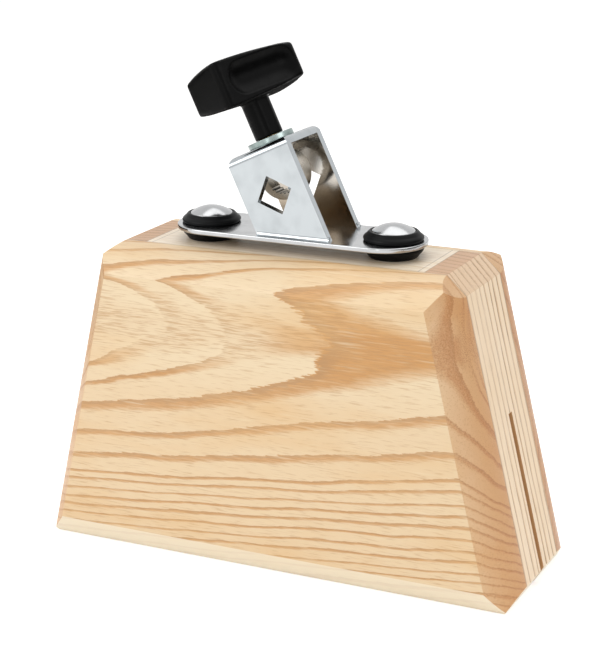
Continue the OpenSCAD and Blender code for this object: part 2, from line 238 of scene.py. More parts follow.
@dataclass(frozen=True)
class Ash:
    """White ash, sawn and lacquered satin: cream wood whose rings each start with a row of tan pores.

    The rings are cylinders round the log's pith, so each face of a board shows them as that face cuts them.
    They are wide while the tree is young and close once it is old. Lengths are in millimetres.

    Attributes:
        name: The material's name.
        grain: Which way the log runs.
        pith: A point on the log's axis.
        lean: Turn of that axis about Z and about Y, in degrees.
        rings: Widths of a ring at the heart, in a young tree and in an old one, and the radius where the
            tree is old.
        phase: Share of a ring by which all of them are shifted.
        pores: Colour of the row of pores that starts a ring.
        spring: Colour of the wood just past them.
        cream: Colour of the rest of the ring.
        warm: Colour that the cream drifts to along the board.
        end: Colour that end grain is multiplied by.
        contrast: How strongly the faintest and the clearest ring show.
        fleck: How strongly single pores show.
        wander: How far the rings wander.
        grazed: Radius within which the rings are faint in a flat cut.
        stops: Shares of a ring where its pores start and end, its spring wood does, and its cream starts.
        row: Share of a ring about which a flat cut spreads it.
        autumn: Band from the share of a ring to how much of that share is kept, so that it ends softly.
        spread: Band from the height over the pith to how fast the colours of a ring follow each other.
        waves: Sizes of the trunk's swellings, each with its share of the wandering.
        spell: How often growth changes in a ring.
        uneven: How far such changes shift the rings, in rings.
        fibre: Size of the fibres that cross a ring's edge.
        frayed: How far they shift that edge, in rings.
        grazing: Band from the height over the pith to how clear the innermost rings are.
        grown: Distance over which the rings turn clear beyond those.
        flat_clear: Band from the height over the pith to how clear a ring is, best near the pith.
        aged: Band from the height over the pith to how warm the wood is.
        sawn: Band from how far a face looks along the grain to how much it is end grain.
        faint_end: Band from that to how clear a ring is.
        drift_size: Size of the slow changes of tone.
        drift: Band from their noise to how warm the wood is.
        pore_size: Size of a pore.
        dense: Band from the share of a ring to the noise above which there is a pore.
        pore_edge: How much more noise makes the pore whole.
        fading: Shares of a ring between which the flecks fade, and how much of them is left.
        ray_size: Size of a ray.
        rays: Band from their noise to how much they show.
        satin_size: Size of the changes in the lacquer's sheen.
        satin: Band from their noise to the roughness.
        sunk: Depth of a lacquered pore.
        gloss: The lacquer's specular level.
        ior: The lacquer's index of refraction.
    """

    name: str
    grain: Grain
    pith: Size
    lean: tuple[float, float]
    rings: tuple[float, float, float, float]
    phase: float
    pores: str
    spring: str
    cream: str
    warm: str
    end: str
    contrast: tuple[float, float]
    fleck: float = 0.58
    wander: float = 3.0
    grazed: float = 43.0
    stops: tuple[float, ...] = (0.0, 0.06, 0.1, 0.2, 0.38)
    row: float = 0.08
    autumn: Band = (0.95, 1.0, 1.0, 0.0)
    spread: Band = (3.0, 22.0, 0.2, 1.3)
    waves: tuple[tuple[Size, float], ...] = (((150.0, 40.0, 40.0), 1.0), ((34.0, 9.0, 9.0), 0.3))
    spell: float = 0.7
    uneven: float = 0.5
    fibre: Size = (12.0, 0.7, 0.7)
    frayed: float = 0.2
    grazing: Band = (9.0, 18.0, 0.12, 1.0)
    grown: float = 3.0
    flat_clear: Band = (10.0, 24.0, 1.18, 0.92)
    aged: Band = (10.0, 26.0, 0.04, 0.2)
    sawn: Band = (0.25, 0.98, 0.0, 0.9)
    faint_end: Band = (0.0, 0.5, 1.0, 0.6)
    drift_size: Size = (80.0, 24.0, 24.0)
    drift: Band = (0.46, 0.72, 0.0, 0.8)
    pore_size: Size = (6.5, 0.42, 0.42)
    dense: Band = (0.05, 0.5, 0.42, 0.55)
    pore_edge: float = 0.16
    fading: tuple[float, float, float] = (0.05, 0.45, 0.7)
    ray_size: Size = (14.0, 0.8, 0.8)
    rays: Band = (0.55, 0.78, 0.0, 0.5)
    satin_size: float = 20.0
    satin: Band = (0.3, 0.7, 0.32, 0.46)
    sunk: float = 0.03
    gloss: float = 0.5
    ior: float = 1.5

    def build(self) -> bpy.types.Material:
        """Makes the wood's material.

        Returns:
            The material.
        """
        material = bpy.data.materials.new(self.name)
        tree = empty_tree(material)
        place = millimetres(tree)
        turn = (0.0, self.grain.value + math.radians(self.lean[1]), math.radians(self.lean[0]))
        log = add(tree, "Mapping", place, self.pith, turn, vector_type="TEXTURE")
        height = add(tree, "Math", add(tree, "SeparateXYZ", log).node.outputs["Z"], operation="ABSOLUTE")
        years, clearer = self._years(tree, log, height)
        # The end of a ring runs softly into the pores that start the next
        season = add(tree, "Math", years, operation="FRACT")
        kept = add(tree, "MapRange", season, *self.autumn)
        season = add(tree, "Math", season, kept, operation="MULTIPLY")
        # Where the saw runs flat along a ring, the row of pores that starts it spreads out
        spread = add(tree, "MapRange", height, *self.spread)
        start = add(tree, "Math", spread, -self.row, self.row, operation="MULTIPLY_ADD")
        season = add(tree, "Math", season, spread, start, operation="MULTIPLY_ADD")
        colours = (self.pores, self.pores, self.spring, self.spring, self.cream)
        ring = add(tree, "ValToRGB", season, stops=zip(self.stops, colours))
        axis = Vector((1, 0, 0))
        axis.rotate(Matrix.Rotation(self.grain.value, 3, "Y"))
        facing = add(tree, "TexCoord", out="Normal")
        across = add(tree, "VectorMath", facing, tuple(axis), operation="DOT_PRODUCT", out="Value")
        across = add(tree, "Math", across, operation="ABSOLUTE")
        across = add(tree, "MapRange", across, *self.sawn)
        # Dry and wet years leave clear and faint rings, all of them fainter in end grain
        year = add(tree, "Math", years, operation="FLOOR")
        clear = add(tree, "TexWhiteNoise", pins={"W": year}, noise_dimensions="1D")
        clear = add(tree, "MapRange", clear, 0.0, 1.0, *self.contrast)
        for share in (clearer, add(tree, "MapRange", height, *self.flat_clear),
                      add(tree, "MapRange", across, *self.faint_end)):
            clear = add(tree, "Math", clear, share, operation="MULTIPLY")
        colour = add(tree, "Mix", clear, pins={UNDER: self.cream, OVER: ring}, **MIXED)
        # The wood is warmer away from the heart of the board
        aged = add(tree, "MapRange", height, *self.aged)
        colour = add(tree, "Mix", aged, pins={UNDER: colour, OVER: self.warm}, blend_type="MULTIPLY",
                     **MIXED)
        colour, pore = self._figure(tree, place, season, colour)
        # End grain drinks more lacquer and turns darker
        colour = add(tree, "Mix", across, pins={UNDER: colour, OVER: self.end}, blend_type="MULTIPLY",
                     **MIXED)
        cloud = add(tree, "TexNoise", pins={"Vector": place, "Scale": 1 / self.satin_size, "Detail": 3.0})
        add(tree, "OutputMaterial", add(tree, "BsdfPrincipled", pins={
            "Base Color": Joinery().mark(tree, place, colour),
            "Roughness": add(tree, "MapRange", cloud, *self.satin),
            "Normal": add(tree, "Bump", pins={"Height": pore, "Distance": self.sunk * MM}, invert=True),
            "Specular IOR Level": self.gloss,
            "IOR": self.ior,
        }))
        return material

    def _years(self, tree: Tree, log: Socket, height: Socket) -> tuple[Socket, Socket]:
        """Counts the rings out from the pith.

        Args:
            tree: The material's tree.
            log: The place in the log, in millimetres, with X along its axis.
            height: How far that place is above or below the pith.

        Returns:
            The tree's age where that place grew, in rings, and how clear its ring is.
        """
        radius = add(tree, "VectorMath", log, (0.0, 1.0, 1.0), operation="MULTIPLY")
        radius = add(tree, "VectorMath", radius, operation="LENGTH", out="Value")
        # The trunk is not quite round or straight, so the rings wander along and round it
        for size, share in self.waves:
            swing = share * self.wander
            scaled = add(tree, "VectorMath", log, size, operation="DIVIDE")
            wave = add(tree, "TexNoise", pins={"Vector": scaled, "Scale": 1.0, "Detail": 2.0})
            wave = add(tree, "Math", wave, 2 * swing, -swing, operation="MULTIPLY_ADD")
            radius = add(tree, "Math", radius, wave, operation="ADD")
        # The young tree's rings are counted everywhere, and then the others' difference from them
        heart, young, old, change = self.rings
        years = add(tree, "Math", radius, 1 / young, self.phase, operation="MULTIPLY_ADD")
        for outer, inner, more in ((self.grazed, radius, 1 / young - 1 / heart),
                                   (radius, change, 1 / old - 1 / young)):
            beyond = add(tree, "Math", outer, inner, operation="SUBTRACT")
            beyond = add(tree, "Math", beyond, 0.0, operation="MAXIMUM")
            years = add(tree, "Math", beyond, more, years, operation="MULTIPLY_ADD")
        # No two years grow alike, and fibres cross a ring's edge, which leaves it ragged in a flat cut
        uneven = add(tree, "TexNoise", pins={"W": years, "Scale": self.spell, "Detail": 1.0},
                     noise_dimensions="1D")
        scaled = add(tree, "VectorMath", log, self.fibre, operation="DIVIDE")
        frayed = add(tree, "TexNoise", pins={"Vector": scaled, "Scale": 1.0, "Detail": 4.0})
        for noise, shift in ((uneven, self.uneven), (frayed, self.frayed)):
            middle = add(tree, "Math", years, -shift / 2, operation="ADD")
            years = add(tree, "Math", noise, shift, middle, operation="MULTIPLY_ADD")
        # The innermost ring is faint where the saw only grazes it
        clear = add(tree, "MapRange", height, *self.grazing)
        grown = add(tree, "MapRange", radius, self.grazed, self.grazed + self.grown)
        return years, add(tree, "Math", clear, grown, operation="MAXIMUM")

    def _figure(self, tree: Tree, place: Socket, season: Socket, colour: Socket) -> tuple[Socket, Socket]:
        """Draws what runs along the grain: slow drifts of tone, short open pores and pale rays.

        Args:
            tree: The material's tree.
            place: The place on the object, in millimetres.
            season: Share of the ring at that place.
            colour: The rings' colour.

        Returns:
            The wood's colour, and the depth of its pores.
        """
        fibre = add(tree, "Mapping", place, self.pith, (0.0, self.grain.value, 0.0), vector_type="TEXTURE")
        drift, pore, ray = (
            add(tree, "TexNoise", pins={"Vector": add(tree, "VectorMath", fibre, size, operation="DIVIDE"),
                                        "Scale": 1.0, "Detail": detail})
            for size, detail in ((self.drift_size, 3.0), (self.pore_size, 3.0), (self.ray_size, 2.0)))
        drift = add(tree, "MapRange", drift, *self.drift)
        colour = add(tree, "Mix", drift, pins={UNDER: colour, OVER: self.warm}, **MIXED)
        # Pores are three times as coarse as real so that they show, and lie densest where a ring starts
        dense = add(tree, "MapRange", season, *self.dense)
        whole = add(tree, "Math", dense, self.pore_edge, operation="ADD")
        pore = add(tree, "MapRange", pore, dense, whole)
        first, last, left = self.fading
        share = add(tree, "MapRange", season, first, last, self.fleck, left * self.fleck)
        share = add(tree, "Math", pore, share, operation="MULTIPLY")
        colour = add(tree, "Mix", share, pins={UNDER: colour, OVER: self.pores}, **MIXED)
        ray = add(tree, "MapRange", ray, *self.rays)
        return add(tree, "Mix", ray, pins={UNDER: colour, OVER: self.cream}, **MIXED), pore


@dataclass(frozen=True)
class Metal:
    """A bare or plated metal.

    Attributes:
        name: The material's name.
        colour: Its clean colour.
        stain: Its colour where it is handled or thinly plated.
        roughness: Its roughness where clean and where stained.
        wave: Width and height of the waves in its surface, in millimetres.
        smudge_size: Size of a stain, in millimetres.
        stained: Noise where a stain starts and where it is full.
        dulled: Noise where the surface starts to turn rough and where it is roughest.
    """

    name: str
    colour: str
    stain: str
    roughness: tuple[float, float]
    wave: tuple[float, float]
    smudge_size: float = 7.0
    stained: tuple[float, float] = (0.45, 0.75)
    dulled: tuple[float, float] = (0.3, 0.75)

    def build(self) -> bpy.types.Material:
        """Makes the metal's material.

        Returns:
            The material.
        """
        material = bpy.data.materials.new(self.name)
        tree = empty_tree(material)
        place = millimetres(tree)
        smudge = add(tree, "TexNoise", pins={"Vector": place, "Scale": 1 / self.smudge_size, "Detail": 4.0})
        wave = add(tree, "TexNoise", pins={"Vector": place, "Scale": 1 / self.wave[0], "Detail": 2.0})
        share = add(tree, "MapRange", smudge, *self.stained)
        colour = add(tree, "Mix", share, pins={UNDER: self.colour, OVER: self.stain}, **MIXED)
        add(tree, "OutputMaterial", add(tree, "BsdfPrincipled", pins={
            "Base Color": self.tone(tree, place, colour),
            "Metallic": 1.0,
            "Roughness": add(tree, "MapRange", smudge, *self.dulled, *self.roughness),
            "Normal": add(tree, "Bump", pins={"Height": wave, "Distance": self.wave[1] * MM}),
        }))
        return material

    def tone(self, tree: Tree, place: Socket, colour: Socket) -> Socket:
        """Leaves the colour as it is. A kind of metal with its own marks draws them here."""
        return colour


@dataclass(frozen=True)
class BracketChrome(Metal):
    """Chrome on a bent bracket: bright outside, with a painted reflection of the wood on the inner faces,
    brown towards the foot.

    Attributes:
        inner_y: Half the distance between the legs, in millimetres.
        near_face: How near to that a face counts as an inner one, in millimetres.
        painted_low_reflection: Colour of the painted reflection of the wood on the inner faces low down.
        painted_high_reflection: Colour of the painted grey reflection on the inner faces higher up.
        heights: Heights between which the one turns into the other, in millimetres.
        cloud_size: Size of the clouds at their border, in millimetres.
        cloud_rise: How far those shift the border, in millimetres.
    """

    inner_y: float = 10.5
    near_face: float = 0.05
    painted_low_reflection: str = "#988975"
    painted_high_reflection: str = "#c6c3be"
    heights: tuple[float, float] = (128.0, 147.0)
    cloud_size: float = 6.0
    cloud_rise: float = 8.0

    def tone(self, tree: Tree, place: Socket, colour: Socket) -> Socket:
        """Paints a reflection of the wood on the inner faces of the legs.

        Args:
            tree: The material's tree.
            place: The place on the object, in millimetres.
            colour: The clean chrome's colour.

        Returns:
            The browned colour.
        """
        # Painted reflection on the inner faces: brown low down, grey higher up, with a cloudy border
        parts = add(tree, "SeparateXYZ", place).node.outputs
        beside = add(tree, "Math", parts["Y"], operation="ABSOLUTE")
        inner = add(tree, "Math", beside, self.inner_y, self.near_face, operation="COMPARE")
        cloud = add(tree, "TexNoise", pins={"Vector": place, "Scale": 1 / self.cloud_size, "Detail": 3.0})
        height = add(tree, "Math", cloud, self.cloud_rise, parts["Z"], operation="MULTIPLY_ADD")
        clean = add(tree, "MapRange", height, *self.heights)
        painted_reflection = add(tree, "Mix", clean, pins={UNDER: self.painted_low_reflection, OVER: self.painted_high_reflection}, **MIXED)
        return add(tree, "Mix", inner, pins={UNDER: colour, OVER: painted_reflection}, **MIXED)


@dataclass(frozen=True)
class EyeSteel(Metal):
    """Forged steel of the eye bolt, with painted shade between the teeth of the eye. Lengths are in
    millimetres.

    Attributes:
        centre: Centre of the eye.
        bore_r: Radius of its bore.
        groove_shade_reach: How far outside the bore the painted shade starts and is full.
        groove: How far outside the bore all grooves have ended.
        half_width: Half the width of the eye, less a hair so that its side faces stay clean.
        painted_groove_shade: Colour of the painted shade.
    """

    centre: Size = (-5.855, 0.0, 139.85)
    bore_r: float = 6.2
    groove_shade_reach: tuple[float, float] = (0.1, 0.5)
    groove: float = 1.9
    half_width: float = 3.15
    painted_groove_shade: str = "#1d1914"

    def tone(self, tree: Tree, place: Socket, colour: Socket) -> Socket:
        """Paints shade into the grooves, which lie just outside the bore.

        Args:
            tree: The material's tree.
            place: The place on the object, in millimetres.
            colour: The clean steel's colour.

        Returns:
            The colour with the painted shade.
        """
        arm = add(tree, "VectorMath", place, self.centre, operation="SUBTRACT")
        flat = add(tree, "VectorMath", arm, (1.0, 0.0, 1.0), operation="MULTIPLY")
        radius = add(tree, "VectorMath", flat, operation="LENGTH", out="Value")
        # Painted shade in the grooves between the teeth
        dark = add(tree, "MapRange", radius, *(self.bore_r + depth for depth in self.groove_shade_reach))
        beside = add(tree, "Math", add(tree, "SeparateXYZ", arm).node.outputs["Y"], operation="ABSOLUTE")
        for measure, limit in ((radius, self.bore_r + self.groove), (beside, self.half_width)):
            within = add(tree, "Math", measure, limit, operation="LESS_THAN")
            dark = add(tree, "Math", dark, within, operation="MULTIPLY")
        return add(tree, "Mix", dark, pins={UNDER: colour, OVER: self.painted_groove_shade}, **MIXED)


@dataclass(frozen=True)
class Moulding:
    """A moulded rubber or plastic. Lengths are in millimetres.

    Attributes:
        name: The material's name.
        colour: Its own colour.
        dust: Its colour where dust and handling dull it.
        roughness: Its lowest and highest roughness.
        texture: Width and height of the mould's fine texture.
        gloss: Its specular level.
        dust_size: Size of a dusty place.
        dusty: Band from the dust's noise to how much of it shows.
        sheen_size: Size of the changes in sheen.
        handled: Noise between which the sheen changes.
        underside: Band from the share of Z in a face's direction to its least roughness.
    """

    name: str
    colour: str
    dust: str
    roughness: tuple[float, float]
    texture: tuple[float, float]
    gloss: float
    dust_size: float = 5.0
    dusty: Band = (0.5, 0.8, 0.0, 0.5)
    sheen_size: float = 3.0
    handled: tuple[float, float] = (0.3, 0.7)
    underside: Band = (-0.85, -0.5, 1.0, 0.0)

    def build(self) -> bpy.types.Material:
        """Makes the moulded material.

        Returns:
            The material.
        """
        material = bpy.data.materials.new(self.name)
        tree = empty_tree(material)
        place = millimetres(tree)
        dust, grit, sheen = (
            add(tree, "TexNoise", pins={"Vector": place, "Scale": 1 / size, "Detail": detail})
            for size, detail in ((self.dust_size, 5.0), (self.texture[0], 3.0), (self.sheen_size, 3.0)))
        dust = add(tree, "MapRange", dust, *self.dusty)
        # Handling polishes a moulding everywhere but on its underside
        facing = add(tree, "SeparateXYZ", add(tree, "TexCoord", out="Normal")).node.outputs["Z"]
        unworn = add(tree, "MapRange", facing, *self.underside)
        worn = add(tree, "MapRange", sheen, *self.handled, *self.roughness)
        add(tree, "OutputMaterial", add(tree, "BsdfPrincipled", pins={
            "Base Color": add(tree, "Mix", dust, pins={UNDER: self.colour, OVER: self.dust}, **MIXED),
            "Roughness": add(tree, "Math", worn, unworn, operation="MAXIMUM"),
            "Normal": add(tree, "Bump", pins={"Height": grit, "Distance": self.texture[1] * MM}),
            "Specular IOR Level": self.gloss,
        }))
        return material


# Flat-sawn ash under satin lacquer: a broad cathedral above and close straight rings below
FRONT_ASH = Ash(
    "lacquered_flat_sawn_ash", Grain.LENGTHWISE, pith=(0, 9.5, 90), lean=(7.6, -1.15),
    rings=(3.6, 7.6, 2.885, 68), phase=0.79, pores="#c09260", spring="#d09a5d", cream="#f0dbb8",
    warm="#e4bb84", end="#e0b890", contrast=(0.74, 0.88))
# The same ash, from a plainer part of the plank
BACK_ASH = Ash(
    "lacquered_ash_back_board", Grain.LENGTHWISE, pith=(0, -14, 66), lean=(-4, 2),
    rings=(3.6, 6.4, 3.1, 60), phase=0.3, pores="#b2804c", spring="#dba96f", cream="#f5dfba",
    warm="#e9c794", end="#d0a582", contrast=(0.55, 0.8))
# Straight-grained rails, the palest wood of the block
RAIL_ASH = Ash(
    "quarter_sawn_ash_rail", Grain.LENGTHWISE, pith=(0, 150, 118), lean=(0.4, 0.0),
    rings=(2.6, 2.6, 2.4, 60), phase=0.0, pores="#c6a278", spring="#ead4b2", cream="#fff4e1",
    warm="#fdecd5", end="#dcc0a2", contrast=(0.3, 0.7), fleck=0.36, wander=2.0)
# Stiles on edge: thin dark rings run up the end faces
LEFT_STILE_ASH = Ash(
    "quarter_sawn_ash_left", Grain.UP_THE_LEFT, pith=(-40, -160, 50), lean=(0.0, 0.0),
    rings=(4.1, 4.1, 3.9, 60), phase=0.0, pores="#a17a50", spring="#d9b384", cream="#f8e4c8",
    warm="#f2d7b4", end="#d0b39a", contrast=(0.85, 1.05), fleck=0.34, wander=2.0)
RIGHT_STILE_ASH = replace(
    LEFT_STILE_ASH, name="quarter_sawn_ash_right", grain=Grain.UP_THE_RIGHT, pith=(40, -160, 50), phase=0.4)
# Rolled steel under bright nickel chrome: pale, a little wavy, with clear reflections
CHROME = Metal("bright_chromed_steel", "#b6b7b8", "#abacad", roughness=(0.12, 0.24), wave=(9.0, 0.02))
# The same chrome over a bend, with clear reflections outside and a painted brown reflection between the legs
BENT_CHROME = BracketChrome(
    "bent_chromed_bracket", "#b5babd", "#abb0b3", roughness=(0.1, 0.2), wave=(9.0, 0.02))
# Forged and turned steel, oiled and not polished: duller and browner
STEEL = Metal("turned_carbon_steel", "#a8a298", "#7d7466", roughness=(0.22, 0.4), wave=(2.0, 0.02))
# The same steel as forged, with painted shade in the grooves of the eye
EYE_STEEL = EyeSteel("forged_steel_with_painted_shade", "#b4ada2", "#8a8173", roughness=(0.2, 0.36), wave=(2.0, 0.02))
# Clear zinc plating: a soft blue-green grey with fine bloom
ZINC = Metal("clear_zinc_plated_steel", "#a3b0ae", "#8b9996", roughness=(0.2, 0.36), wave=(1.0, 0.01))
# Turned brass, hidden inside the handle and the wood
BRASS = Metal("turned_brass", "#8f7440", "#5e4c2c", roughness=(0.3, 0.45), wave=(1.5, 0.01))
# Moulded nitrile rubber: near black with a soft sheen
RUBBER = Moulding("moulded_nitrile_rubber", "#0b0c0d", "#151617", roughness=(0.34, 0.48),
                  texture=(0.5, 0.012), gloss=0.12)
# Glass-filled nylon from a spark-eroded mould: black satin
NYLON = Moulding("spark_textured_nylon", "#060606", "#0a0a0a", roughness=(0.28, 0.38),
                 texture=(0.35, 0.008), gloss=0.07)

Finish = Ash | Metal | Moulding


@dataclass(frozen=True)
class Easing:
    """How a piece's sharp edges are rounded.

    Attributes:
        width: Width of the rounding, in millimetres.
        angle: Edges that turn more than this many degrees are sharp.
        segments: Faces across each rounding.
    """

    width: float
    angle: float
    segments: int


@dataclass
class Workshop:
    """Turns bmeshes into finished pieces and keeps the materials that they share.

    Attributes:
        materials: The materials made so far, by name.
        flat_deg: Neighbouring triangles that turn less than this many degrees make one flat face.
    """

    materials: dict[str, bpy.types.Material] = field(default_factory=dict)
    flat_deg: float = 0.3

    def material(self, finish: Finish) -> bpy.types.Material:
        """Makes a finish's material once.

        Args:
            finish: The finish.

        Returns:
            Its material.
        """
        if finish.name not in self.materials:
            self.materials[finish.name] = finish.build()
        return self.materials[finish.name]

    def dress(self, node: str, finish: Finish) -> None:
        """Gives a CAD node that keeps its solid a finish.

        Args:
            node: The node's name.
            finish: What it is made of.
        """
        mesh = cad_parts[node].data
        mesh.materials.clear()
        mesh.materials.append(self.material(finish))
        LOG.info("dressed %s in %s", node, finish.name)

    def copy_of(self, node: str) -> bmesh.types.BMesh:
        """Copies a CAD node's solid, merged and with whole flat faces.

        Args:
            node: The node's name.

        Returns:
            The copy.
        """
        bm = bmesh.new()
        bm.from_mesh(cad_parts[node].data)
        bmesh.ops.remove_doubles(bm, verts=bm.verts, dist=MERGE)
        bmesh.ops.dissolve_limit(bm, angle_limit=math.radians(self.flat_deg), verts=bm.verts,
                                 edges=bm.edges)
        return bm

    def round_edges(self, bm: bmesh.types.BMesh, easing: Easing,
                    chosen: Callable[[bmesh.types.BMEdge], bool] = lambda edge: True) -> None:
        """Rounds the sharp edges of a bmesh.

        Args:
            bm: The bmesh to change.
            easing: How they are rounded.
            chosen: Which sharp edges to round.
        """
        sharp = [e for e in bm.edges if len(e.link_faces) == 2
                 and e.calc_face_angle() > math.radians(easing.angle) and chosen(e)]
        bmesh.ops.bevel(bm, geom=sharp, offset=easing.width * MM, offset_type="OFFSET", affect="EDGES",
                        segments=easing.segments, profile=0.5, material=-1, clamp_overlap=True)

    def piece(self, bm: bmesh.types.BMesh, name: str, body: str, slot: str, finish: Finish,
              nodes: tuple[str, ...] = (), sharp: float = 35.0) -> bpy.types.Object:
        """Makes a bmesh a finished piece on a body.

        Args:
            bm: The piece's mesh, in place. It is freed.
            name: The piece's name.
            body: The CAD body that it rides on.
            slot: Name of a material slot of the record; not used.
            finish: What it is made of.
            nodes: The CAD nodes that it stands for.
            sharp: Edges that turn more than this many degrees stay crisp.

        Returns:
            The piece's object.
        """
        mesh = mesh_from(bm, name)
        mesh.shade_smooth()
        mesh.set_sharp_from_angle(angle=math.radians(sharp))
        mesh.materials.append(self.material(finish))
        made = placed(mesh, name)
        weighted = made.modifiers.new("weighted_normals", "WEIGHTED_NORMAL")
        weighted.keep_sharp = True
        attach(made, body)
        if nodes:
            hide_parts(*nodes)
        LOG.info("%s: %d faces, on %s", name, len(mesh.polygons), body)
        return made


def revolved(profile: list[tuple[float, float]], x: float, closed: bool,
             steps: int = 96) -> bmesh.types.BMesh:
    """Turns a profile about an upright axis.

    Args:
        profile: Points as (radius, height), in millimetres.
        x: Place of the axis along X, in millimetres.
        closed: Whether the last point joins the first.
        steps: Steps round the axis.

    Returns:
        The turned solid.
    """
    bm = bmesh.new()
    points = [bm.verts.new(((x + r) * MM, 0, z * MM)) for r, z in profile]
    followers = points[1:] + points[:1] if closed else points[1:]
    edges = [bm.edges.new(pair) for pair in zip(points, followers)]
    bmesh.ops.spin(bm, geom=points + edges, cent=(x * MM, 0, 0), axis=(0, 0, 1), dvec=(0, 0, 0),
                   angle=2 * math.pi, steps=steps, use_merge=True)
    bmesh.ops.remove_doubles(bm, verts=bm.verts, dist=MERGE)
    bmesh.ops.recalc_face_normals(bm, faces=bm.faces)
    return bm


def arc(centre: tuple[float, float], radius: float, start: float, end: float,
        steps: int) -> list[tuple[float, float]]:
    """Gives points of a circle's arc from one angle to another, in degrees, both ends included."""
    angles = [math.radians(start + (end - start) * i / steps) for i in range(steps + 1)]
    return [(centre[0] + radius * math.cos(a), centre[1] + radius * math.sin(a)) for a in angles]


@dataclass
class Block:
    """The wooden body: two moulded boards on a core of rails and stiles.

    Attributes:
        shop: What makes the pieces.
        glue_y: Half the thickness of the core, in millimetres.
        glue_margin: Edges nearer to the core than this stay sharp, in millimetres.
        crease: How the creases of the boards' moulding are softened.
    """

    shop: Workshop
    glue_y: float = Joinery.glue_y
    glue_margin: float = 0.3
    crease: Easing = Easing(0.35, 14, 2)

    def build(self) -> None:
        """Makes the boards and dresses the core."""
        for node, finish in (("front_board", FRONT_ASH), ("back_board", BACK_ASH)):
            bm = self.shop.copy_of(node)
            self.shop.round_edges(bm, self.crease, self._off_the_glue)
            self.shop.piece(bm, node + "_moulded", "block", "ash_board", finish, (node,), self.crease.angle)
        for node in ("top_rail", "left_joint_strip", "right_joint_strip", "bottom_rail_front",
                     "bottom_rail_back"):
            self.shop.dress(node, RAIL_ASH)
        self.shop.dress("left_stile", LEFT_STILE_ASH)
        self.shop.dress("right_stile", RIGHT_STILE_ASH)

    def _off_the_glue(self, edge: bmesh.types.BMEdge) -> bool:
        """Whether an edge is clear of the glue face, where the board meets the core."""
        return all(abs(v.co.y) > (self.glue_y + self.glue_margin) * MM for v in edge.verts)


